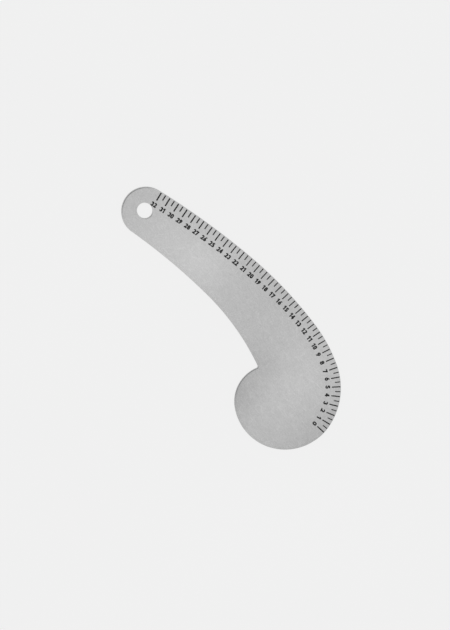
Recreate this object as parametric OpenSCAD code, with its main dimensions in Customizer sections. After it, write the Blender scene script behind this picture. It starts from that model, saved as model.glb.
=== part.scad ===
// Pattern curve ruler: one sheet of hard aluminium cut to a French curve, with a
// centimetre scale printed along its convex edge and a hole to hang it by.
// The sheet lies on its back with the hole's centre at the origin. The tip points
// to -X, the round end to +X and the graduated edge to +Y.

/* [Sheet] */
// Thickness of the sheet
sheet_t = 1.5; // [1:0.1:3]
// Width of the break on both rims of the cut edge
edge_break = 0.2; // [0.05:0.05:0.4]

/* [Tip and hanging hole] */
// Radius of the rounded tip
tip_r = 24; // [18:0.5:30]
// Distance from the hole's centre to the line of the graduated edge next to the tip
hole_from_edge = 23.83; // [21:0.01:27]
// Distance from the hole's centre to the tip's centre, along that line
tip_ahead = 1.64; // [0:0.01:5]
// Angle round the tip where the graduated edge leaves it
graduated_leave_angle = 110; // [106:0.5:114]
// Angle round the tip where the hollow edge leaves it
hollow_leave_angle = 286.2; // [284.2:0.1:288.2]
// Diameter of the hanging hole
hole_d = 15; // [6:0.5:20]
// Width of the break on both rims of the hole
hole_break = 0.35; // [0.1:0.05:0.5]

/* [Graduated edge] */
// Radius of the almost straight stretch next to the tip
straight_r = 760; // [600:10:1000]
// Angle that the almost straight stretch turns through
straight_angle = 8.5; // [6:0.1:10]
// Radius of the gentle stretch
gentle_r = 420; // [340:5:520]
// Angle that the gentle stretch turns through
gentle_angle = 12.7; // [10:0.1:15]
// Radius of the stretch that leads into the round end
lead_r = 150; // [120:1:190]
// Angle that the leading stretch turns through
lead_angle = 17.8; // [14:0.1:21]

/* [Round end] */
// Radius of the round end's near side
side_r = 68; // [58:1:80]
// Angle that the near side turns through
side_angle = 52; // [46:1:58]
// Radius of the round end itself
round_r = 52; // [44:1:60]
// Angle that the round end itself turns through
round_angle = 138; // [130:1:146]
// Radius of the curl that closes on the notch
curl_r = 36; // [30:1:42]
// Angle that the closing curl turns through
curl_angle = 76; // [68:1:82]
// Radius at the bottom of the notch
notch_r = 2; // [0.5:0.1:4]

/* [Hollow edge] */
// Radius of the hollow edge's first stretch, next to the tip
hollow_r = 600; // [450:10:900]
// Angle that the first stretch turns through
hollow_angle = 9.2; // [6:0.1:12]

/* [Scale] */
// Last number of the scale, in centimetres
last_number = 32; // [10:1:33]
// Distance along the edge between two numbers
pitch = 10; // [8:0.1:10.2]
// Distance along the edge from the tip's round to the last number
scale_start = 3.2; // [0:0.1:6]
// Width of the centimetre marks, at zero
long_w_at_zero = 1.2; // [0.5:0.05:1.5]
// Width of the centimetre marks, in the middle
long_w_in_middle = 1.1; // [0.5:0.05:1.5]
// Width of the centimetre marks, at the last number
long_w_at_last = 1.4; // [0.5:0.05:1.5]
// Width of the half-centimetre marks, at zero
short_w_at_zero = 0.95; // [0.4:0.05:1.5]
// Width of the half-centimetre marks, in the middle
short_w_in_middle = 1.05; // [0.4:0.05:1.5]
// Width of the half-centimetre marks, at the last number
short_w_at_last = 1.25; // [0.4:0.05:1.5]
// Thickness of the printed ink
ink_t = 0.05; // [0.02:0.01:0.1]

/* [Distance of the print from the edge] */
// Marks' outer ends, at zero
gap_at_zero = 0.4; // [0.1:0.05:2]
// Marks' outer ends, in the middle
gap_in_middle = 0.45; // [0.1:0.05:2]
// Marks' outer ends, past the middle
gap_past_middle = 0.55; // [0.1:0.05:2]
// Marks' outer ends, at the last number
gap_at_last = 0.8; // [0.1:0.05:2]
// Centimetre marks' inner ends, at zero
long_at_zero = 9.4; // [8:0.1:10]
// Centimetre marks' inner ends, in the middle
long_in_middle = 8.3; // [7:0.1:9]
// Centimetre marks' inner ends, past the middle
long_past_middle = 9.4; // [8:0.1:10]
// Centimetre marks' inner ends, at the last number
long_at_last = 9.6; // [8:0.1:10.5]
// Half-centimetre marks' inner ends, at zero
short_at_zero = 5.8; // [4:0.1:7]
// Half-centimetre marks' inner ends, in the middle
short_in_middle = 5.5; // [4:0.1:7]
// Half-centimetre marks' inner ends, past the middle
short_past_middle = 6.2; // [4:0.1:7]
// Half-centimetre marks' inner ends, at the last number
short_at_last = 6.5; // [4:0.1:7.5]
// Middle of the numbers, at zero
number_at_zero = 13.5; // [13:0.1:15]
// Middle of the numbers, in the middle
number_in_middle = 12.4; // [12:0.1:14]
// Middle of the numbers, past the middle
number_past_middle = 13.7; // [13:0.1:15]
// Middle of the numbers, at the last number
number_at_last = 14.3; // [13.5:0.1:15]
// Distance that a number stands ahead of its mark, towards the tip
number_lead = 0.3; // [0:0.1:1]

/* [Digits] */
// Height of a digit
digit_h = 4.7; // [4.5:0.1:5]
// Width of a digit that stands alone
lone_digit_w = 3.4; // [2.8:0.1:3.6]
// Width of a digit in a pair
paired_digit_w = 3; // [2.8:0.05:3.2]
// Width of the digit one, its flag included
one_w = 2.2; // [1.8:0.1:2.5]
// Thickness of a digit's strokes
stroke = 1.3; // [0.8:0.05:1.35]
// Space between two digits
digit_gap = 0.15; // [0.1:0.05:0.4]
// Space added after a digit one
one_gap = 0.4; // [0:0.05:0.5]

/* [Hidden] */

aluminium = [0.74, 0.74, 0.74];
ink = [0.09, 0.09, 0.1];

// Overrun of every cut past the face that it goes through
overrun = 1;
// Longest straight step along an arc, and the largest turn that a step may take
step_l = 6;
step_angle = 3;
// Numbers at the places called the middle and past the middle, as shares of the last number
middle_share = 0.45;
past_middle_share = 0.6;

// Sides of a circle
$fn = 96;
glyph_fn = 32;

tip_centre =
    tip_ahead * way(graduated_leave_angle - 90) + (hole_from_edge - tip_r) * way(graduated_leave_angle);

// Unit vector at an angle
function way(a) = [cos(a), sin(a)];
// Where an arc of radius r gets to from p, heading h, after it turns by a (left is positive)
function arc_end(p, h, r, a) =
    p + sign(a) * r * [sin(h + a) - sin(h), cos(h) - cos(h + a)];
// Length of an arc
function arc_length(r, a) = r * abs(a) * PI / 180;

// A place on the outline is [point, heading], and an arc is [radius, turn]
function after(place, arc) = [arc_end(place[0], place[1], arc[0], arc[1]), place[1] + arc[1]];
// Places at the start of each arc of a chain and at its end
function places(place, arcs, i = 0) =
    i == len(arcs) ? [place] : concat([place], places(after(place, arcs[i]), arcs, i + 1));
// Steps that an arc needs
function steps(arc) = max(ceil(arc_length(arc[0], arc[1]) / step_l), ceil(abs(arc[1]) / step_angle));
// Places along a chain, each arc in its own number of even steps, without the chain's end
function stations(start, arcs, counts) = [
    for (i = [0:len(arcs) - 1], k = [0:counts[i] - 1])
        after(places(start, arcs)[i], [arcs[i][0], arcs[i][1] * k / counts[i]])
];
function total(list, i = 0) = i == len(list) ? 0 : list[i] + total(list, i + 1);

// The graduated edge and the round end, clockwise from the tip to the notch
outer_start = [tip_centre + tip_r * way(graduated_leave_angle), graduated_leave_angle - 90];
edge_arcs = [
    [straight_r, -straight_angle],
    [gentle_r, -gentle_angle],
    [lead_r, -lead_angle]
];
round_arcs = [
    [side_r, -side_angle],
    [round_r, -round_angle],
    [curl_r, -curl_angle]
];
outer_arcs = concat(edge_arcs, round_arcs);
outer_places = places(outer_start, outer_arcs);
edge_end = outer_places[len(edge_arcs)];
outer_end = outer_places[len(outer_arcs)];

// The hollow edge's first stretch, followed from the tip towards the notch
hollow_start = [tip_centre + tip_r * way(hollow_leave_angle), hollow_leave_angle + 90];
hollow_join = after(hollow_start, [hollow_r, -hollow_angle]);

// The hollow edge's last stretch starts tangent to the first one and touches the
// notch's round from inside, which gives its radius, centre and point of contact
notch_centre = outer_end[0] + notch_r * way(outer_end[1] + 90);
join_normal = way(hollow_join[1] - 90);
from_notch = hollow_join[0] - notch_centre;
deep_r = (notch_r * notch_r - from_notch * from_notch) / (2 * (join_normal * from_notch + notch_r));
deep_centre = hollow_join[0] + deep_r * join_normal;
to_notch = notch_centre - deep_centre;
contact_angle = atan2(to_notch[1], to_notch[0]);
// Headings that start within half a turn of each other
function near_to(a, b) = a - 360 * round((a - b) / 360);
contact_heading = near_to(contact_angle + 90, outer_end[1] + 90);
deep_angle = near_to(hollow_join[1] - 180, contact_heading) - contact_heading;

contact = [deep_centre + deep_r * way(contact_angle), contact_heading];
notch_arc = [notch_r, contact_heading - outer_end[1]];
end_arcs = concat(round_arcs, [notch_arc]);
hollow_arcs = [[deep_r, deep_angle], [hollow_r, hollow_angle]];
tip_arc = [tip_r, graduated_leave_angle - hollow_leave_angle];
tip_start = [hollow_start[0], hollow_start[1] - 180];

// The graduated and the hollow edge have the same number of steps
edge_counts = [for (arc = edge_arcs) steps(arc)];
end_counts = [for (arc = end_arcs) steps(arc)];
edge_count = total(edge_counts);
end_count = total(end_counts);
deep_share = arc_length(deep_r, deep_angle) / total([for (arc = hollow_arcs) arc_length(arc[0], arc[1])]);
deep_count = round(edge_count * deep_share);
outline = concat(
    stations(outer_start, edge_arcs, edge_counts),
    stations(edge_end, end_arcs, end_counts),
    stations(contact, hollow_arcs, [deep_count, edge_count - deep_count]),
    stations(tip_start, [tip_arc], [steps(tip_arc)])
);

// The outline's points, moved in from the edge by d
function inset(d) = [for (s = outline) s[0] - d * way(s[1] + 90)];
function raised(points, z) = [for (p = points) [p[0], p[1], z]];

// Where a distance along the graduated edge lies, and the heading there
function along(s, i = 0) =
    let (whole = arc_length(outer_arcs[i][0], outer_arcs[i][1]))
    s <= whole || i == len(outer_arcs) - 1
        ? after(outer_places[i], [outer_arcs[i][0], outer_arcs[i][1] * s / whole])
        : along(s - whole, i + 1);
// Where number n stands on the edge
function number_place(n) = along(scale_start + (last_number - n) * pitch);
// Where the middle of number n lies
function number_middle(n) =
    let (place = number_place(n))
    place[0] - number_lead * way(place[1]) - number_reach(n) * way(place[1] + 90);
// A smooth way from 0 to 1
function ease(t) = (1 - cos(180 * t)) / 2;
// A size given at zero, in the middle, past the middle and at the last number, taken
// at number n
stops = [0, middle_share, past_middle_share, 1] * last_number;
function spread(sizes, n) =
    let (i = n < stops[1] ? 0 : n < stops[2] ? 1 : 2)
    sizes[i] + (sizes[i + 1] - sizes[i]) * ease((n - stops[i]) / (stops[i + 1] - stops[i]));
function mark_gap(n) = spread([gap_at_zero, gap_in_middle, gap_past_middle, gap_at_last], n);
function long_reach(n) = spread([long_at_zero, long_in_middle, long_past_middle, long_at_last], n);
function short_reach(n) = spread([short_at_zero, short_in_middle, short_past_middle, short_at_last], n);
function number_reach(n) =
    spread([number_at_zero, number_in_middle, number_past_middle, number_at_last], n);
function long_w(n) = spread([long_w_at_zero, long_w_in_middle, long_w_in_middle, long_w_at_last], n);
function short_w(n) =
    spread([short_w_at_zero, short_w_in_middle, short_w_in_middle, short_w_at_last], n);

// The front of the sheet in pieces without hollows: the round end, the band between
// the two edges in four-sided pieces, and the tip
function front() =
    let (last = len(outline) - 1, across = 2 * edge_count + end_count)
    concat(
        [[for (i = [edge_count:edge_count + end_count]) i]],
        [for (i = [0:edge_count - 1]) [i, i + 1, across - i - 1, across - i]],
        [concat([for (i = [across:last]) i], [0])]
    );
// A face seen from its other side, with the same first point
function turned(face) = [for (i = [0:len(face) - 1]) face[(len(face) - i) % len(face)]];

// The cut sheet with both of its rims broken
module sheet() {
    n = len(outline);
    levels = [[edge_break, 0], [0, edge_break], [0, sheet_t - edge_break], [edge_break, sheet_t]];
    last = len(levels) - 1;
    points = [for (l = levels) each raised(inset(l[0]), l[1])];
    sides = [
        for (l = [0:last - 1], i = [0:n - 1])
            let (j = (i + 1) % n)
            [l * n + j, (l + 1) * n + j, (l + 1) * n + i, l * n + i]
    ];
    back = [for (face = front()) turned(face)];
    raised_front = [for (face = front()) [for (i = face) last * n + i]];
    polyhedron(points, concat(back, raised_front, sides));
}

// A cone that breaks one rim of the hole, pointing up
module hole_rim() {
    r = hole_d / 2;
    reach = hole_break + overrun;
    translate([0, 0, -hole_break])
        cylinder(r1 = r, r2 = r + reach, h = reach);
}

module blade() {
    color(aluminium)
        difference() {
            sheet();
            translate([0, 0, -overrun])
                cylinder(d = hole_d, h = sheet_t + 2 * overrun);
            translate([0, 0, sheet_t])
                hole_rim();
            mirror([0, 0, 1])
                hole_rim();
        }
}

// Sets its children on the front face at number n, with +Y out over the edge
module at_number(n) {
    place = number_place(n);
    translate([place[0][0], place[0][1], sheet_t])
        rotate(place[1])
            children();
}

// A printed mark from the gap at the edge to its reach
module mark(n, width, reach) {
    at_number(n)
        translate([-width / 2, -reach, 0])
            cube([width, reach - mark_gap(n), ink_t]);
}

module centimetre_marks() {
    color(ink)
        for (n = [0:last_number])
            mark(n, long_w(n), long_reach(n));
}

module half_centimetre_marks() {
    color(ink)
        for (n = [0:last_number - 1])
            mark(n + 1 / 2, short_w(n + 1 / 2), short_reach(n + 1 / 2));
}

// Shapes of the digits, as angles and as shares of their sizes
upper_bowl_share = 0.47;
upper_bowl_w_share = 0.94;
bowl_open_angle = 174;
bowl_close_angle = 95;
two_open_angle = 172;
two_tail_angle = -35;
two_overlap_angle = 12;
two_foot_share = 1.4;
four_stem_share = 0.15;
four_bar_share = 0.2;
four_slant_share = 0.7;
five_bowl_share = 0.67;
five_close_angle = 125;
six_lean_angle = 150;
seven_foot_share = 0.3;
seven_stroke_share = 1.1;

// The digits are drawn about their middle. The bowls of 3 and 8 share a stroke.
upper_bowl_h = (digit_h + stroke) * upper_bowl_share;
lower_bowl_h = digit_h + stroke - upper_bowl_h;
top = digit_h / 2;

module oval(w, h) {
    polygon([
        for (i = [0:glyph_fn - 1])
            let (a = 360 * i / glyph_fn)
            [w / 2 * cos(a), h / 2 * sin(a)]
    ]);
}
module ring(w, h) {
    difference() {
        oval(w, h);
        oval(w - 2 * stroke, h - 2 * stroke);
    }
}
// The part of a ring from angle a to angle b
module bowl(w, h, a, b) {
    reach = w + h;
    intersection() {
        ring(w, h);
        polygon([[0, 0], for (t = [0:1 / 6:1]) reach * way(a + (b - a) * t)]);
    }
}
module bar(x0, y0, x1, y1) {
    translate([x0, y0])
        square([x1 - x0, y1 - y0]);
}
module oblong(w, h) {
    for (side = [-1, 1])
        translate([0, side * (h - w) / 2])
            circle(d = w, $fn = glyph_fn);
    square([w, h - w], center = true);
}
// A slanting stroke between two level cuts, given by its left ends
module slant(x0, y0, x1, y1, width) {
    polygon([[x0, y0], [x0 + width, y0], [x1 + width, y1], [x1, y1]]);
}

module zero(w) {
    difference() {
        oblong(w, digit_h);
        oblong(w - 2 * stroke, digit_h - 2 * stroke);
    }
}
module one() {
    right = one_w / 2;
    drop = one_w - stroke;
    polygon([
        [right, -top],
        [right - stroke, -top],
        [right - stroke, top - stroke],
        [-right, top - stroke - drop],
        [-right, top - drop],
        [right - stroke, top],
        [right, top]
    ]);
}
module two(w) {
    r = w / 2;
    centre = [0, top - r];
    foot_y = stroke / 2 - top;
    foot_w = stroke * two_foot_share;
    translate(centre)
        bowl(w, w, two_tail_angle - two_overlap_angle, two_open_angle);
    polygon([
        [stroke / 4 - r, foot_y],
        [foot_w - r, foot_y],
        centre + r * way(two_tail_angle),
        centre + (r - stroke) * way(two_tail_angle)
    ]);
    bar(-r, -top, r, stroke - top);
}
module three(w) {
    translate([0, top - upper_bowl_h / 2])
        bowl(w * upper_bowl_w_share, upper_bowl_h, -bowl_close_angle, bowl_open_angle);
    translate([0, lower_bowl_h / 2 - top])
        bowl(w, lower_bowl_h, -bowl_open_angle, bowl_close_angle);
}
module four(w) {
    stem = w * four_stem_share;
    bar_y = digit_h * four_bar_share - top;
    bar(stem - stroke / 2, -top, stem + stroke / 2, top);
    bar(-w / 2, bar_y, w / 2, bar_y + stroke);
    slant(-w / 2, bar_y + stroke / 2, stem - stroke / 2, top, stroke * four_slant_share);
}
module five(w) {
    bowl_h = digit_h * five_bowl_share;
    centre_y = bowl_h / 2 - top;
    left = stroke / 4 - w / 2;
    translate([0, centre_y])
        bowl(w, bowl_h, -bowl_open_angle, five_close_angle);
    bar(left, top - stroke, -left, top);
    bar(left, centre_y + stroke / 2, left + stroke, top);
}
module six(w) {
    centre = [0, w / 2 - top];
    outer = centre + w / 2 * way(six_lean_angle);
    inner = centre + (w / 2 - stroke) * way(six_lean_angle);
    along_stem = digit_h * way(six_lean_angle - 90);
    translate(centre)
        ring(w, w);
    intersection() {
        square([w, digit_h], center = true);
        polygon([outer, inner, inner + along_stem, outer + along_stem]);
    }
}
module seven(w) {
    width = stroke * seven_stroke_share;
    foot = -w / 2 * seven_foot_share - stroke / 2;
    bar(-w / 2, top - stroke, w / 2, top);
    slant(foot, -top, w / 2 - width, top - stroke / 2, width);
}
module eight(w) {
    translate([0, top - upper_bowl_h / 2])
        ring(w * upper_bowl_w_share, upper_bowl_h);
    translate([0, lower_bowl_h / 2 - top])
        ring(w, lower_bowl_h);
}
module digit(d, w) {
    if (d == 0) zero(w);
    if (d == 1) one();
    if (d == 2) two(w);
    if (d == 3) three(w);
    if (d == 4) four(w);
    if (d == 5) five(w);
    if (d == 6) six(w);
    if (d == 7) seven(w);
    if (d == 8) eight(w);
    if (d == 9) rotate(180) six(w);
}

function digits_of(n) = n < 10 ? [n] : [floor(n / 10), n % 10];
// Width of the digits of a number, but for a one
function digit_w(n) = n < 10 ? lone_digit_w : paired_digit_w;
// Width of a digit, and the room that it takes before the next one
function width_of(d, w) = d == 1 ? one_w : w;
function room_of(d, w) = width_of(d, w) + (d == 1 ? one_gap : 0) + digit_gap;
function room_before(digits, w, i) =
    i == 0 ? 0 : room_before(digits, w, i - 1) + room_of(digits[i - 1], w);

// A printed number under its mark, before the hole is cut
module whole_number(n) {
    digits = digits_of(n);
    last = len(digits) - 1;
    w = digit_w(n);
    width = room_before(digits, w, last) + width_of(digits[last], w);
    at_number(n)
        translate([-number_lead - width / 2, -number_reach(n), 0])
            linear_extrude(ink_t)
                for (i = [0:last])
                    translate([room_before(digits, w, i) + width_of(digits[i], w) / 2, 0])
                        digit(digits[i], w);
}

// A printed number, which stops at the hole's rim where the two meet
module number(n) {
    rim_r = hole_d / 2 + hole_break;
    reach = room_before(digits_of(n), digit_w(n), len(digits_of(n)));
    color(ink)
        if (norm(number_middle(n)) - norm([reach, digit_h]) / 2 < rim_r)
            difference() {
                whole_number(n);
                translate([0, 0, sheet_t - overrun])
                    cylinder(r = rim_r, h = 2 * overrun);
            }
        else
            whole_number(n);
}

blade();
centimetre_marks();
half_centimetre_marks();
for (n = [0:last_number])
    number(n);
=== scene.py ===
"""Looks of a pattern curve ruler: a satin aluminium French curve with a printed centimetre scale.

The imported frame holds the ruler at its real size. The sheet is shown as a finer mesh of the same
curve, with rolled and sheared edges. The printed scale keeps its own shape. Every surface has a
procedural finish, and a plain studio looks at the ruler from the photograph's angle.
"""

import logging
import math
from collections.abc import Iterator
from dataclasses import dataclass
from enum import Enum
from typing import Union

import bmesh
import bpy
from mathutils import Matrix, Vector


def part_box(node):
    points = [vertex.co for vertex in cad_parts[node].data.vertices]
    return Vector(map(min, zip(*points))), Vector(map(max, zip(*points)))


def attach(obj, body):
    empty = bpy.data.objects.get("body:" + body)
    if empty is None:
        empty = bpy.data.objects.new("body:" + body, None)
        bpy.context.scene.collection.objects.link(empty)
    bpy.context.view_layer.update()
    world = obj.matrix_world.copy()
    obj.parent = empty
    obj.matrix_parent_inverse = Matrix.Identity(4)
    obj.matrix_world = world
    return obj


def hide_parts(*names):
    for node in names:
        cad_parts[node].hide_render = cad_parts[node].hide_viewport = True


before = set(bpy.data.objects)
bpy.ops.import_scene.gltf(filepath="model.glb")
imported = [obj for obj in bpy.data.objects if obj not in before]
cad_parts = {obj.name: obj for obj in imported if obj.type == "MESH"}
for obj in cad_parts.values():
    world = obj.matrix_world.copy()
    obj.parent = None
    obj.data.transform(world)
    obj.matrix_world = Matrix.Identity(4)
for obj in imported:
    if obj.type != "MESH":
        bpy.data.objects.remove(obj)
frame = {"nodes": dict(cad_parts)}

LOG = logging.getLogger("curve_ruler")
MM = 0.001
UP = Vector((0.0, 0.0, 1.0))
WHITE = (1.0, 1.0, 1.0, 1.0)
# How strong each finer octave of noise is beside the one before it
OCTAVE_SHARE = 0.55
# What the sheet's mesh holds at its points
RUN_LAYER = "edge_run"
# The rolled edge's mask, which carries both the worn spots and the painted shade of the rim
WEAR_AND_SHADE_LAYER = "edge_wear_and_shade"
NORMAL_LAYER = "edge_normal"


class Side(Enum):
    """The two faces of the sheet, by the sign of their normal along Z."""

    BACK = -1
    FRONT = 1


class Coating(Enum):
    """The sheet's material slots, in their order on its mesh."""

    FACE = 0
    CUT_EDGE = 1


class Detail(Enum):
    """How many octaves of finer noise lie over a noise's patches."""

    SMOOTH = 0.0
    SOFT = 1.0
    MIXED = 2.0
    FINE = 3.0


Value = Union[float, int, "Field"]
Settings = dict[str, object]
Sockets = dict[Union[str, int], object]


class Field:
    """A number that nodes work out at each point, held by one output socket."""

    def __init__(self, bench: "NodeBench", socket: bpy.types.NodeSocket) -> None:
        """Keeps the bench that the socket belongs to.

        Args:
            bench: Where the Math nodes are added.
            socket: The output socket that carries the number.
        """
        self.bench = bench
        self.socket = socket

    def _math(self, operation: str, *values: Value) -> "Field":
        """Adds one Math node.

        Args:
            operation: The node's operation.
            values: Its inputs, in order.

        Returns:
            The node's result.
        """
        made = self.bench.node("ShaderNodeMath", {"operation": operation}, dict(enumerate(values)))
        return Field(self.bench, made.outputs[0])

    def __add__(self, other: Value) -> "Field":
        """Sum."""
        return self._math("ADD", self, other)

    def __radd__(self, other: Value) -> "Field":
        """Reflected sum."""
        return self._math("ADD", other, self)

    def __sub__(self, other: Value) -> "Field":
        """Difference."""
        return self._math("SUBTRACT", self, other)

    def __rsub__(self, other: Value) -> "Field":
        """Reflected difference."""
        return self._math("SUBTRACT", other, self)

    def __mul__(self, other: Value) -> "Field":
        """Product."""
        return self._math("MULTIPLY", self, other)

    def __rmul__(self, other: Value) -> "Field":
        """Reflected product."""
        return self._math("MULTIPLY", other, self)

    def __truediv__(self, other: Value) -> "Field":
        """Quotient."""
        return self._math("DIVIDE", self, other)

    def __rpow__(self, base: Value) -> "Field":
        """A number raised to this one."""
        return self._math("POWER", base, self)

    def __abs__(self) -> "Field":
        """Size without its sign."""
        return self._math("ABSOLUTE", self)

    def clamped(self) -> "Field":
        """Keeps the number between 0 and 1."""
        return self._math("MINIMUM", self._math("MAXIMUM", self, 0.0), 1.0)

    def rise(self, start: float, end: float) -> "Field":
        """A smooth step from 0 at start to 1 at end.

        Args:
            start: Where the step begins. It may lie above the end, for a step that falls.
            end: Where it is complete.

        Returns:
            The step, from 0 to 1.
        """
        share = ((self - start) / (end - start)).clamped()
        return share * share * (3 - 2 * share)


class NodeBench:
    """A node tree under construction."""

    def __init__(self, tree: bpy.types.NodeTree) -> None:
        """Empties the tree.

        Args:
            tree: The tree to work on.
        """
        self.tree = tree
        self.tree.nodes.clear()

    def node(
        self, kind: str, settings: Settings | None = None, sockets: Sockets | None = None
    ) -> bpy.types.Node:
        """Makes any node.

        Args:
            kind: The node's type.
            settings: Its properties, which are set first.
            sockets: What its inputs get, by their name or number, as feed takes it.

        Returns:
            The node.
        """
        made = self.tree.nodes.new(kind)
        for name, value in (settings or {}).items():
            setattr(made, name, value)
        for name, value in (sockets or {}).items():
            self.feed(made.inputs[name], value)
        return made

    def feed(self, socket: bpy.types.NodeSocket, value: object) -> None:
        """Sets an input, or links it.

        Args:
            socket: The input.
            value: A number, a tuple, a vector, a field or an output socket.
        """
        if isinstance(value, Field):
            value = value.socket
        if isinstance(value, bpy.types.NodeSocket):
            self.tree.links.new(value, socket)
        else:
            socket.default_value = value

    def vector(self, operation: str, sockets: Sockets, output: int = 0) -> bpy.types.NodeSocket:
        """Adds one Vector Math node and gives one of its outputs."""
        return self.node("ShaderNodeVectorMath", {"operation": operation}, sockets).outputs[output]


class Shader(NodeBench):
    """A material under construction: its nodes, its links and its main shader."""

    def __init__(self, name: str) -> None:
        """Starts an empty material.

        Args:
            name: The material's name.
        """
        self.material = bpy.data.materials.new(name)
        self.material.use_nodes = True
        super().__init__(self.material.node_tree)
        self.surface = self.node("ShaderNodeBsdfPrincipled")
        self.node("ShaderNodeOutputMaterial", sockets={"Surface": self.surface.outputs[0]})
        place = self.node("ShaderNodeTexCoord").outputs["Object"]
        self.place = self.vector("SCALE", {0: place, "Scale": 1 / MM})

    def stretched(self, turn: float, along: float = 1.0, across: float = 1.0) -> bpy.types.NodeSocket:
        """Turns the place in the sheet's plane and stretches it.

        Args:
            turn: The direction of the long side, in degrees from +X.
            along: Scale along that direction.
            across: Scale across it.

        Returns:
            The stretched place.
        """
        spin = {"Vector": self.place, "Axis": UP, "Angle": -math.radians(turn)}
        turned = self.node("ShaderNodeVectorRotate", {"rotation_type": "AXIS_ANGLE"}, spin).outputs[0]
        return self.vector("MULTIPLY", {0: turned, 1: (along, across, across)})

    def noise(self, size: float, detail: Detail, place: bpy.types.NodeSocket | None = None) -> Field:
        """Cloudy noise.

        Args:
            size: The size of its patches, in millimetres.
            detail: How much finer noise lies over them.
            place: Where it is read, or None for the plain place.

        Returns:
            The noise, from 0 to 1 and about 0.5 on average.
        """
        sockets = {"Vector": place or self.place, "Scale": 1 / size}
        sockets |= {"Detail": detail.value, "Roughness": OCTAVE_SHARE}
        return Field(self, self.node("ShaderNodeTexNoise", {"noise_dimensions": "3D"}, sockets).outputs[0])

    def swing(self, size: float, detail: Detail, place: bpy.types.NodeSocket | None = None) -> Field:
        """The same noise about nothing, from -0.5 to 0.5."""
        return self.noise(size, detail, place) - 0.5

    def attribute(self, name: str) -> Field:
        """A number that the mesh holds at its points."""
        read = {"attribute_type": "GEOMETRY", "attribute_name": name}
        return Field(self, self.node("ShaderNodeAttribute", read).outputs["Fac"])

    def bump(self, height: Field, distance: float) -> None:
        """Bends the surface's normal by a height.

        Args:
            height: The height, about nothing.
            distance: The relief at a height of 1, in millimetres.
        """
        sockets = {"Height": height, "Distance": distance * MM, "Strength": 1.0}
        self.feed(self.surface.inputs["Normal"], self.node("ShaderNodeBump", sockets=sockets).outputs[0])

    def dress(self, grey: Field, roughness: Value, metallic: Value) -> bpy.types.Material:
        """Feeds the main shader.

        Args:
            grey: The base colour's grey level, as a linear value.
            roughness: The roughness.
            metallic: The share of bare metal.

        Returns:
            The finished material.
        """
        color = self.vector("SCALE", {0: WHITE[:3], "Scale": grey})
        values = {"Base Color": color, "Roughness": roughness, "Metallic": metallic}
        for name, value in values.items():
            self.feed(self.surface.inputs[name], value)
        return self.material


@dataclass(frozen=True)
class PaintedLightPatch:
    """A broad patch of painted light and shade on the sheet's face: a positive gain paints it lighter as a
    reflection, a negative one darker as shade.

    The place and the reach are in millimetres, and the gain is a share of the tone.
    """

    x: float
    y: float
    reach: float
    gain: float

    def tone(self, shader: Shader) -> Field:
        """Gives the patch's share of painted light and shade in the tone.

        Args:
            shader: The face's shader.

        Returns:
            The gain at the patch's middle, falling smoothly to nothing round it.
        """
        away = shader.vector("DISTANCE", {0: shader.place, 1: (self.x, self.y, 0.0)}, output=1)
        share = Field(shader, away) / self.reach
        return self.gain * math.e ** (-1 * share * share)


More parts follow.
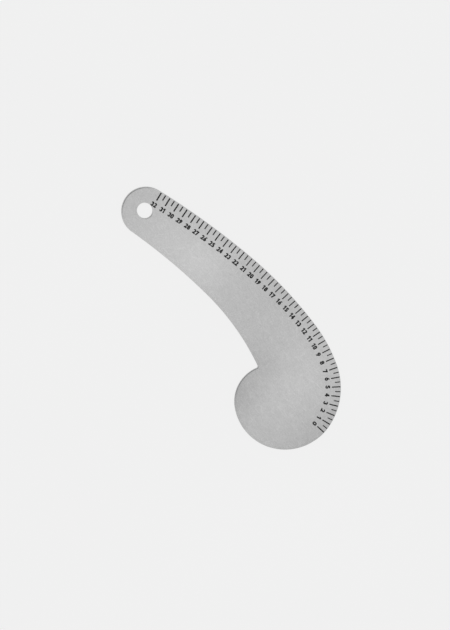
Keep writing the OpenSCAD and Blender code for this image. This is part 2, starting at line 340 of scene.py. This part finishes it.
@dataclass(frozen=True)
class SatinAluminium:
    """The sheet's face: rolled aluminium with a fine satin etch, handled for years.

    The level is a linear tone, sizes are in millimetres, and turns are in degrees from +X. A gain
    is a share of the tone, a blur is added to the roughness, and a relief is a share of the
    depth. The rolled lines and the scratches are scaled along themselves and across. A gate
    lets a scratch show in short stretches only, and its patches are turned a little from it.
    The rim's shade gain is painted shade over the whole rolled edge, and the broad tone patches
    are painted light and shade.
    """

    level: float = 0.508
    roughness: float = 0.42
    depth: float = 0.012
    cloud_size: float = 38.0
    cloud_gain: float = 0.05
    mottle_size: float = 4.0
    mottle_gain: float = 0.19
    mottle_blur: float = 0.12
    mottle_relief: float = 0.5
    grain_size: float = 1.3
    grain_gain: float = 0.34
    grain_blur: float = 0.1
    grain_relief: float = 0.6
    rolled_turn: float = -2.0
    rolled_scale: tuple[float, float] = (0.16, 0.8)
    rolled_gain: float = 0.13
    rolled_relief: float = 0.25
    scratch_turns: tuple[float, ...] = (2.0, 12.0, 63.0, -8.0, -41.0, -78.0)
    scratch_scale: tuple[float, float] = (0.018, 0.55)
    scratch_width: float = 0.03
    scratch_gain: float = 0.08
    scratch_relief: float = -0.35
    gate_size: float = 7.0
    gate_turn: float = 7.0
    gate_range: tuple[float, float] = (0.53, 0.63)
    smudge_size: float = 17.0
    smudge_range: tuple[float, float] = (0.5, 0.72)
    smudge_blur: float = 0.05
    wear_size: float = 6.0
    wear_range: tuple[float, float] = (0.35, 0.7)
    wear_gain: float = 0.03
    # Painted shade: a darker tone over the whole rolled rim
    rim_shade_gain: float = -0.08
    rim_blur: float = -0.25
    # Painted light and shade: broad lighter and darker patches on the face's tone
    patches: tuple[PaintedLightPatch, ...] = (
        PaintedLightPatch(31, 2, 29, 0.11),
        PaintedLightPatch(76, 13, 28, 0.17),
        PaintedLightPatch(191, -4, 23, -0.1),
        PaintedLightPatch(192, -49, 25, -0.22),
        PaintedLightPatch(249, 15, 52, 0.26),
        PaintedLightPatch(290, 18, 67, -0.31),
    )

    def scratches(self, shader: Shader) -> Field:
        """Hairline scratches in a few directions.

        Args:
            shader: The face's shader.

        Returns:
            1 on a scratch and 0 beside it.
        """
        lines = None
        for turn in self.scratch_turns:
            run = shader.swing(1.0, Detail.SMOOTH, shader.stretched(turn, *self.scratch_scale))
            turned = shader.stretched(turn + self.gate_turn)
            gate = shader.noise(self.gate_size, Detail.SMOOTH, turned).rise(*self.gate_range)
            line = abs(run).rise(self.scratch_width, 0.0) * gate
            lines = line if lines is None else lines + line
        return lines.clamped()

    def build(self, name: str) -> bpy.types.Material:
        """Makes the material.

        Args:
            name: The material's name.

        Returns:
            The material.
        """
        shader = Shader(name)
        cloud = shader.swing(self.cloud_size, Detail.SOFT)
        mottle = shader.swing(self.mottle_size, Detail.FINE)
        grain = shader.swing(self.grain_size, Detail.MIXED)
        lengthwise = shader.stretched(self.rolled_turn, *self.rolled_scale)
        rolled = shader.swing(1.0, Detail.MIXED, lengthwise)
        scratched = self.scratches(shader)
        rim = shader.attribute(WEAR_AND_SHADE_LAYER)
        worn = rim * shader.noise(self.wear_size, Detail.MIXED).rise(*self.wear_range)
        smudge = shader.noise(self.smudge_size, Detail.FINE).rise(*self.smudge_range)
        tone = 1 + cloud * self.cloud_gain + mottle * self.mottle_gain + grain * self.grain_gain
        tone = tone + rolled * self.rolled_gain + scratched * self.scratch_gain
        # Worn spots on the rolled rim are lighter, and the whole rim also gets painted shade
        tone = tone + worn * self.wear_gain + rim * self.rim_shade_gain
        # The patches paint light and shade into the face's tone
        for patch in self.patches:
            tone = tone + patch.tone(shader)
        roughness = self.roughness + mottle * self.mottle_blur + grain * self.grain_blur
        roughness = roughness + smudge * self.smudge_blur + rim * self.rim_blur
        relief = grain * self.grain_relief + mottle * self.mottle_relief
        relief = relief + rolled * self.rolled_relief + scratched * self.scratch_relief
        shader.bump(relief, self.depth)
        return shader.dress(tone * self.level, roughness.clamped(), 1.0)


@dataclass(frozen=True)
class ShearedEdge:
    """The sheet's cut edge: a burnished band above, a torn grey band below, and fine upright lines.

    Levels are linear tones and sizes are in millimetres. A gain is a share of the tone, a blur is
    added to the roughness, and a relief is a share of the depth.
    """

    level: float = 0.35
    roughness: float = 0.5
    metallic: float = 0.8
    depth: float = 0.02
    line_size: float = 0.35
    line_shrink: float = 0.12
    line_gain: float = 0.5
    line_relief: float = 0.6
    torn_size: float = 0.22
    torn_gain: float = 0.7
    torn_blur: float = 0.2
    burnish_start: float = 0.85
    burnish_end: float = 1.05
    burnish_gain: float = 0.35
    burnish_blur: float = -0.18
    border_size: float = 3.0
    border_wander: float = 0.5

    def build(self, name: str) -> bpy.types.Material:
        """Makes the material.

        Args:
            name: The material's name.

        Returns:
            The material.
        """
        shader = Shader(name)
        run = shader.attribute(RUN_LAYER)
        height = Field(shader, shader.node("ShaderNodeSeparateXYZ", sockets={0: shader.place}).outputs[2])
        spots = {0: run, 1: height * self.line_shrink, 2: 0.0}
        upright = shader.node("ShaderNodeCombineXYZ", sockets=spots).outputs[0]
        lines = shader.swing(self.line_size, Detail.MIXED, upright)
        grit = shader.swing(self.torn_size, Detail.FINE)
        border = height + shader.swing(self.border_size, Detail.SOFT, upright) * self.border_wander
        burnished = border.rise(self.burnish_start, self.burnish_end)
        torn = grit * (1 - burnished)
        tone = 1 + lines * self.line_gain + torn * self.torn_gain + burnished * self.burnish_gain
        roughness = self.roughness + grit * self.torn_blur + burnished * self.burnish_blur
        shader.bump(lines * self.line_relief + torn, self.depth)
        return shader.dress(tone * self.level, roughness.clamped(), self.metallic)


@dataclass(frozen=True)
class PrintedInk:
    """Black ink printed on the metal: slightly uneven, a little glossy, and pinholed where thin.

    Levels are linear tones and sizes are in millimetres. A gain is a share of the tone, a blur is
    added to the roughness, and a relief is a share of the depth.
    """

    level: float = 0.007
    roughness: float = 0.55
    specular: float = 0.25
    depth: float = 0.01
    blotch_size: float = 2.2
    blotch_gain: float = 0.5
    blotch_blur: float = 0.2
    blotch_relief: float = 0.5
    tooth_size: float = 0.16
    tooth_gain: float = 0.3
    tooth_blur: float = 0.15
    thin_size: float = 9.0
    thin_range: tuple[float, float] = (0.5, 0.68)
    thin_level: float = 0.004
    pinhole_size: float = 0.2
    pinhole_range: tuple[float, float] = (0.72, 0.78)
    bare_level: float = 0.3

    def build(self, name: str) -> bpy.types.Material:
        """Makes the material.

        Args:
            name: The material's name.

        Returns:
            The material.
        """
        shader = Shader(name)
        blotch = shader.swing(self.blotch_size, Detail.MIXED)
        tooth = shader.swing(self.tooth_size, Detail.MIXED)
        thin = shader.noise(self.thin_size, Detail.SOFT).rise(*self.thin_range)
        pinholes = shader.noise(self.pinhole_size, Detail.SOFT).rise(*self.pinhole_range) * thin
        tone = self.level * (1 + blotch * self.blotch_gain + tooth * self.tooth_gain)
        tone = tone + thin * self.thin_level + pinholes * self.bare_level
        roughness = self.roughness + blotch * self.blotch_blur + tooth * self.tooth_blur
        shader.bump(tooth + blotch * self.blotch_relief - pinholes, self.depth)
        shader.surface.inputs["Specular IOR Level"].default_value = self.specular
        return shader.dress(tone, roughness.clamped(), pinholes)


@dataclass(frozen=True)
class PaleFloor:
    """The studio's plain pale floor: a translucent sheet, partly lit from below to soften shadows.

    Levels are linear tones, and the clouds' size is in millimetres.
    """

    level: float = 0.06
    glow: float = 0.8
    roughness: float = 0.9
    cloud_size: float = 240.0
    cloud_level: float = 0.01

    def build(self, name: str) -> bpy.types.Material:
        """Makes the material, with a very faint unevenness.

        Args:
            name: The material's name.

        Returns:
            The material.
        """
        shader = Shader(name)
        shader.surface.inputs["Emission Color"].default_value = WHITE
        shader.surface.inputs["Emission Strength"].default_value = self.glow
        tone = self.level + shader.swing(self.cloud_size, Detail.SOFT) * self.cloud_level
        return shader.dress(tone, self.roughness, 0.0)


@dataclass(frozen=True)
class Arc:
    """One tangent arc: its radius in millimetres, and its turn in degrees with left as positive."""

    radius: float
    turn: float

    def share(self, part: float) -> "Arc":
        """The first part of the arc."""
        return Arc(self.radius, self.turn * part)

    def length(self) -> float:
        """The arc's length in millimetres."""
        return self.radius * abs(math.radians(self.turn))


@dataclass(frozen=True)
class Place:
    """A place on a cut line: its point in millimetres, its heading in degrees and its distance run."""

    point: Vector
    heading: float
    run: float = 0.0

    def outward(self) -> Vector:
        """The direction out of the metal, to the left of the heading."""
        return direction(self.heading + 90)

    def after(self, arc: Arc) -> "Place":
        """Follows an arc from here.

        Args:
            arc: The arc.

        Returns:
            The place at its end.
        """
        side = math.copysign(arc.radius, arc.turn)
        centre = self.point + self.outward() * side
        end = self.heading + arc.turn
        return Place(centre - direction(end + 90) * side, end, self.run + arc.length())


def direction(angle: float) -> Vector:
    """The unit vector at an angle in degrees, in the sheet's plane."""
    return Vector((math.cos(math.radians(angle)), math.sin(math.radians(angle))))


def smooth(share: float) -> float:
    """A smooth step from 0 at a share of nothing to 1 at the whole."""
    share = min(max(share, 0.0), 1.0)
    return share * share * (3 - 2 * share)


@dataclass(frozen=True)
class Outline:
    """The French curve's outline as tangent arcs, clockwise from the tip.

    Sizes are in millimetres and angles in degrees. The hole's centre is the origin. The two
    leaving angles are where the graduated edge and the hollow edge leave the tip's round.
    """

    tip_radius: float = 24.0
    hole_from_edge: float = 23.83
    tip_ahead: float = 1.64
    graduated_leave: float = 110.0
    hollow_leave: float = 286.2
    outer: tuple[Arc, ...] = (
        Arc(760, -8.5),
        Arc(420, -12.7),
        Arc(150, -17.8),
        Arc(68, -52),
        Arc(52, -138),
        Arc(36, -76),
    )
    notch_radius: float = 2.0
    hollow: Arc = Arc(600, 9.2)
    step: float = 0.8
    step_turn: float = 2.0

    def tip_centre(self) -> Vector:
        """The middle of the tip's round, placed from the graduated edge next to it.

        Returns:
            The point, as the hole's distance from that edge and the step ahead along it give it.
        """
        inward = self.tip_radius - self.hole_from_edge
        ahead = self.tip_ahead * direction(self.graduated_leave - 90)
        return ahead - inward * direction(self.graduated_leave)

    def start(self) -> Place:
        """Where the graduated edge leaves the tip's round."""
        point = self.tip_centre() + self.tip_radius * direction(self.graduated_leave)
        return Place(point, self.graduated_leave - 90)

    def closing_arcs(self, outer_end: Place) -> list[Arc]:
        """The notch's round, the hollow edge's two arcs and the tip's round.

        The hollow edge's deep arc is tangent to its shallow one and holds the notch's round
        from outside, which gives its radius and both turns.

        Args:
            outer_end: Where the round end meets the notch.

        Returns:
            The four arcs, from the notch back to the start.
        """
        leave = self.tip_centre() + self.tip_radius * direction(self.hollow_leave)
        shallow = Arc(self.hollow.radius, -self.hollow.turn)
        join = Place(leave, self.hollow_leave + 90).after(shallow)
        notch = outer_end.point + self.notch_radius * outer_end.outward()
        normal = direction(join.heading - 90)
        gap = join.point - notch
        deep = (self.notch_radius**2 - gap.length_squared) / (2 * (normal.dot(gap) + self.notch_radius))
        away = notch - (join.point + deep * normal)
        contact = math.degrees(math.atan2(away.y, away.x)) + 90
        notch_turn = (contact - outer_end.heading) % 360
        deep_turn = (join.heading - 180 - contact) % 360
        tip_turn = self.graduated_leave - self.hollow_leave
        return [
            Arc(self.notch_radius, notch_turn),
            Arc(deep, deep_turn),
            self.hollow,
            Arc(self.tip_radius, tip_turn),
        ]

    def walk(self, start: Place, arcs: list[Arc]) -> Iterator[Place]:
        """Follows a chain of arcs in even fine steps.

        Args:
            start: Where the chain starts.
            arcs: Its arcs.

        Yields:
            Each place but the chain's end.
        """
        for arc in arcs:
            count = math.ceil(max(arc.length() / self.step, abs(arc.turn) / self.step_turn))
            for step in range(count):
                yield start.after(arc.share(step / count))
            start = start.after(arc)

    def places(self) -> list[Place]:
        """The whole outline, once round.

        Returns:
            Its places, from the graduated edge's start and without the start again at the end.
        """
        outer_end = self.start()
        for arc in self.outer:
            outer_end = outer_end.after(arc)
        closing = self.closing_arcs(outer_end)
        return [*self.walk(self.start(), list(self.outer)), *self.walk(outer_end, closing)]


@dataclass(frozen=True)
class RimPoint:
    """One point of the cut edge, seen in section.

    The inset is in from the outline and the height is up from the back, both in millimetres. The
    lean is the normal's angle above level in degrees, and the rim's mask runs from 0 to 1: it marks the
    rolled edge for its worn spots and its painted shade.
    """

    inset: float
    height: float
    lean: float
    wear_and_shade: float


Section = list[RimPoint]
Loop = list[bmesh.types.BMEdge]


@dataclass(frozen=True)
class Roll:
    """How far a punched edge is drawn down: the roll's width and its drop, in millimetres."""

    width: float
    drop: float

    def towards(self, other: "Roll", share: float) -> "Roll":
        """Blends this roll with another.

        Args:
            other: The roll at a share of 1.
            share: How much of the other it takes, from 0 to 1.

        Returns:
            The blend.
        """
        width = self.width + (other.width - self.width) * share
        return Roll(width, self.drop + (other.drop - self.drop) * share)

    def points(self, steps: int, flat: float) -> Section:
        """The roll's section, from the top of the wall to the flat beside it.

        Args:
            steps: Steps round its quarter ellipse.
            flat: How far the section runs on over the flat face.

        Returns:
            Its points, with heights as drops from the face.
        """
        points = []
        for step in range(steps + 1):
            turn = math.radians(90 * step / steps)
            across, up = math.cos(turn), math.sin(turn)
            lean = math.degrees(math.atan2(self.width * up, self.drop * across))
            points.append(RimPoint(self.width * (1 - across), -self.drop * (1 - up), lean, 1.0))
        return [*points, RimPoint(self.width + flat, 0.0, 90.0, 0.0)]


@dataclass(frozen=True)
class Blade:
    """The sheet: its outline, its hanging hole and its punched edges. Sizes are in millimetres.

    The punch drew the front's edge down in a wide roll, except along the scale, where the edge
    was dressed straight, and where the last number meets the hole. Both keep a small roll.
    The roll widens over the run out past the scale, and narrows over the run in before it.
    The number's side of the hole is a direction in degrees. Its start and its end are shares
    of pointing that way, between which the hole's roll gets small.
    """

    outline: Outline = Outline()
    hole_radius: float = 7.5
    hole_steps: int = 160
    back_roll: Roll = Roll(0.2, 0.2)
    scale_roll: Roll = Roll(0.25, 0.2)
    free_roll: Roll = Roll(2.4, 0.9)
    hole_roll: Roll = Roll(1.8, 0.75)
    printed_hole_roll: Roll = Roll(0.7, 0.5)
    number_side: float = 87.0
    number_start: float = 0.15
    number_end: float = 0.65
    roll_steps: int = 8
    scale_length: float = 325.0
    scale_run_out: float = 14.0
    scale_run_in: float = 9.0
    # How far past the roll the rim's mask fades out, for its worn spots and its painted shade
    wear_and_shade_band: float = 1.4
    face: SatinAluminium = SatinAluminium()
    cut_edge: ShearedEdge = ShearedEdge()

    def thickness(self) -> float:
        """The sheet's thickness, from the frame."""
        low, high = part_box("blade")
        return (high.z - low.z) / MM

    def section(self, roll: Roll, thickness: float) -> Section:
        """The cut edge from the back face to the front.

        Args:
            roll: The front's roll there.
            thickness: The sheet's thickness.

        Returns:
            The section's points, from the flat of the back to the flat of the front.
        """
        back = self.back_roll.points(self.roll_steps, self.wear_and_shade_band)
        front = roll.points(self.roll_steps, self.wear_and_shade_band)
        lower = [RimPoint(p.inset, -p.height, -p.lean, p.wear_and_shade) for p in reversed(back)]
        return lower + [RimPoint(p.inset, thickness + p.height, p.lean, p.wear_and_shade) for p in front]

    def outer_sections(self, places: list[Place]) -> list[Section]:
        """The outline's sections: a small roll along the scale and a wide one elsewhere.

        Args:
            places: The outline's places.

        Returns:
            A section for each place.
        """
        whole = places[-1].run
        thickness = self.thickness()
        sections = []
        for place in places:
            out = smooth((place.run - self.scale_length) / self.scale_run_out)
            back_in = smooth((whole - place.run) / self.scale_run_in)
            roll = self.scale_roll.towards(self.free_roll, out * back_in)
            sections.append(self.section(roll, thickness))
        return sections

    def hole_places(self) -> list[Place]:
        """The hanging hole's rim, with the metal to the right of the heading.

        Returns:
            Its places, once round.
        """
        full = Arc(self.hole_radius, 360.0)
        start = Place(Vector((self.hole_radius, 0.0)), 90.0)
        return [start.after(full.share(step / self.hole_steps)) for step in range(self.hole_steps)]

    def hole_sections(self, places: list[Place]) -> list[Section]:
        """The hole's sections: a wide roll, but a small one where the last number stands.

        Args:
            places: The hole's places.

        Returns:
            A section for each place.
        """
        thickness = self.thickness()
        number = direction(self.number_side)
        span = self.number_end - self.number_start
        sections = []
        for place in places:
            facing = place.point.normalized().dot(number)
            share = smooth((facing - self.number_start) / span)
            roll = self.hole_roll.towards(self.printed_hole_roll, share)
            sections.append(self.section(roll, thickness))
        return sections

    def build_edge(
        self, mesh: bmesh.types.BMesh, places: list[Place], sections: list[Section]
    ) -> list[Loop]:
        """Builds the cut edge along a closed line.

        Args:
            mesh: The mesh that gets it.
            places: The line, with the metal to its right.
            sections: The edge's section at each place.

        Returns:
            The first and the last loop of edges, which bound the two flat faces.
        """
        run = mesh.verts.layers.float[RUN_LAYER]
        wear_and_shade = mesh.verts.layers.float[WEAR_AND_SHADE_LAYER]
        normal = mesh.verts.layers.float_vector[NORMAL_LAYER]
        rings = []
        for rims in zip(*sections):
            ring = []
            for place, rim in zip(places, rims):
                lean = direction(rim.lean)
                flat = place.point - rim.inset * place.outward()
                vert = mesh.verts.new((flat.x * MM, flat.y * MM, rim.height * MM))
                vert[run] = place.run
                vert[wear_and_shade] = rim.wear_and_shade
                vert[normal] = (place.outward() * lean.x).to_3d() + UP * lean.y
                ring.append(vert)
            rings.append(ring)
        section = sections[0]
        for level, (lower, upper) in enumerate(zip(rings, rings[1:])):
            wall = section[level].lean == section[level + 1].lean == 0
            coating = Coating.CUT_EDGE if wall else Coating.FACE
            for i, vert in enumerate(lower):
                j = (i + 1) % len(lower)
                quad = mesh.faces.new((vert, upper[i], upper[j], lower[j]))
                quad.material_index = coating.value
                quad.smooth = True
        loops = []
        for ring in (rings[0], rings[-1]):
            loops.append([mesh.edges.get((v, ring[(i + 1) % len(ring)])) for i, v in enumerate(ring)])
        return loops

    def fill_face(self, mesh: bmesh.types.BMesh, edges: Loop, side: Side) -> None:
        """Fills one flat face between its outer loop and the hole's.

        Args:
            mesh: The mesh.
            edges: The two loops of edges.
            side: Which face it is.
        """
        made = bmesh.ops.triangle_fill(mesh, use_beauty=True, use_dissolve=False, edges=edges)
        for face in (g for g in made["geom"] if isinstance(g, bmesh.types.BMFace)):
            face.normal_update()
            if face.normal.z * side.value < 0:
                face.normal_flip()
            face.material_index = Coating.FACE.value
            face.smooth = True

    def shape(self) -> bpy.types.Mesh:
        """Builds the sheet as one closed mesh.

        Returns:
            The mesh, with the distance run, the rim's mask for worn spots and painted shade, and the
            normals of its edges.
        """
        mesh = bmesh.new()
        for name in (RUN_LAYER, WEAR_AND_SHADE_LAYER):
            mesh.verts.layers.float.new(name)
        mesh.verts.layers.float_vector.new(NORMAL_LAYER)
        places = self.outline.places()
        outer = self.build_edge(mesh, places, self.outer_sections(places))
        rim = self.hole_places()
        hole = self.build_edge(mesh, rim, self.hole_sections(rim))
        for side, loops in zip((Side.BACK, Side.FRONT), zip(outer, hole)):
            self.fill_face(mesh, [edge for loop in loops for edge in loop], side)
        key = mesh.verts.layers.float_vector[NORMAL_LAYER]
        normals = [vert[key].copy() for vert in mesh.verts]
        data = bpy.data.meshes.new("sheet")
        mesh.to_mesh(data)
        mesh.free()
        data.normals_split_custom_set_from_vertices(normals)
        return data

    def build(self) -> bpy.types.Object:
        """Builds the sheet and dresses it.

        Returns:
            The sheet, which stands for the frame's own blade.
        """
        data = self.shape()
        data.materials.append(self.face.build("satin_aluminium"))
        data.materials.append(self.cut_edge.build("sheared_edge"))
        sheet = bpy.data.objects.new("sheet", data)
        bpy.context.scene.collection.objects.link(sheet)
        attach(sheet, "root")
        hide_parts("blade")
        return sheet


@dataclass(frozen=True)
class PrintedScale:
    """The printed marks and numbers, which keep the frame's own solids."""

    ink: PrintedInk = PrintedInk()
    prefixes: tuple[str, ...] = ("centimetre_marks", "half_centimetre_marks", "number_")

    def dress(self, nodes: dict[str, bpy.types.Object]) -> int:
        """Gives the print its ink.

        Args:
            nodes: The frame's nodes, by name.

        Returns:
            How many nodes were dressed.
        """
        ink = self.ink.build("printed_ink")
        printed = [node for name, node in nodes.items() if name.startswith(self.prefixes)]
        for node in printed:
            node.data.materials.clear()
            node.data.materials.append(ink)
        return len(printed)


@dataclass(frozen=True)
class Camera:
    """The photograph's camera, by what it sees at the middle of the picture.

    The target is in metres. The tilt is from the sheet's normal, towards a direction in the
    picture, and the roll turns the picture against the sheet's X axis, all in degrees.
    """

    target: tuple[float, float, float] = (0.12941, -0.00188, 0.0015)
    distance: float = 1.7
    tilt: float = 9.0
    tilt_towards: float = 130.0
    roll: float = 51.6
    focal_pixels: float = 1732.6
    picture_height: float = 630.0
    sensor: float = 36.0
    far_clip: float = 100.0

    def build(self) -> bpy.types.Object:
        """Places the camera and makes it the scene's.

        Returns:
            The camera.
        """
        lens = bpy.data.cameras.new("camera")
        lens.sensor_width = self.sensor
        lens.lens = self.sensor * self.focal_pixels / self.picture_height
        lens.clip_end = self.far_clip
        camera = bpy.data.objects.new("camera", lens)
        bpy.context.scene.collection.objects.link(camera)
        tilt = math.radians(self.tilt)
        towards = direction(self.tilt_towards) * math.sin(tilt)
        back = Vector((towards.x, towards.y, math.cos(tilt)))
        tilted = UP.rotation_difference(back).to_matrix().to_4x4()
        rolled = Matrix.Rotation(math.radians(self.roll), 4, "Z") @ tilted
        away = Matrix.Translation((0.0, 0.0, self.distance))
        camera.matrix_world = Matrix.Translation(self.target) @ rolled @ away
        bpy.context.scene.camera = camera
        return camera


@dataclass(frozen=True)
class Surround:
    """The studio's soft light: an even white all round, with a dark gap high up past the tip.

    The azimuth is in degrees. The near start and end are shares of leaning that way, between
    which the gap darkens. The far start and end are shares of pointing up, between which it
    is bright again.
    """

    bright: float = 1.0
    dark: float = 0.42
    dark_azimuth: float = 181.6
    near_start: float = 0.18
    near_end: float = 0.38
    far_start: float = 0.86
    far_end: float = 0.62

    def build(self) -> bpy.types.World:
        """Makes the light and sets it round the scene.

        Returns:
            The world that holds it.
        """
        world = bpy.data.worlds.new("surround")
        world.use_nodes = True
        bench = NodeBench(world.node_tree)
        towards = bench.node("ShaderNodeTexCoord").outputs["Generated"]
        level = direction(self.dark_azimuth)
        aside = bench.vector("DOT_PRODUCT", {0: towards, 1: (level.x, level.y, 0.0)}, output=1)
        upward = bench.vector("DOT_PRODUCT", {0: towards, 1: UP}, output=1)
        near = Field(bench, aside).rise(self.near_start, self.near_end)
        gap = near * Field(bench, upward).rise(self.far_end, self.far_start)
        strength = self.bright + (self.dark - self.bright) * gap
        light = bench.node("ShaderNodeBackground", sockets={"Color": WHITE, "Strength": strength})
        bench.node("ShaderNodeOutputWorld", sockets={"Surface": light.outputs[0]})
        bpy.context.scene.world = world
        return world


@dataclass(frozen=True)
class Studio:
    """The plain studio: a pale floor, soft light all round and the camera.

    Half the floor's width is in metres. Its gap under the ruler is in millimetres.
    """

    floor: PaleFloor = PaleFloor()
    floor_half: float = 14.0
    floor_gap: float = 0.02
    surround: Surround = Surround()
    camera: Camera = Camera()

    def build_floor(self) -> bpy.types.Object:
        """Lays the floor under the ruler.

        Returns:
            The floor, marked as stage.
        """
        half = self.floor_half
        corners = [(-half, -half, 0.0), (half, -half, 0.0), (half, half, 0.0), (-half, half, 0.0)]
        data = bpy.data.meshes.new("floor")
        data.from_pydata(corners, [], [(0, 1, 2, 3)])
        data.materials.append(self.floor.build("pale_floor"))
        floor = bpy.data.objects.new("floor", data)
        bpy.context.scene.collection.objects.link(floor)
        floor.location.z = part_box("blade")[0].z - self.floor_gap * MM
        return floor

    def build(self) -> list[str]:
        """Sets the whole studio up.

        Returns:
            The names of what it set up.
        """
        bpy.context.scene.view_settings.view_transform = "Standard"
        made = [self.surround.build(), self.build_floor(), self.camera.build()]
        return [piece.name for piece in made]


def main() -> None:
    """Builds the ruler's looks and the studio in order."""
    logging.basicConfig(level=logging.INFO, format="%(name)s: %(message)s")
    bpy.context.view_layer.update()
    sheet = Blade().build()
    LOG.info("sheet: %d faces", len(sheet.data.polygons))
    LOG.info("print: %d nodes dressed", PrintedScale().dress(frame["nodes"]))
    LOG.info("studio: %s", ", ".join(Studio().build()))


if __name__ == "__main__":
    main()
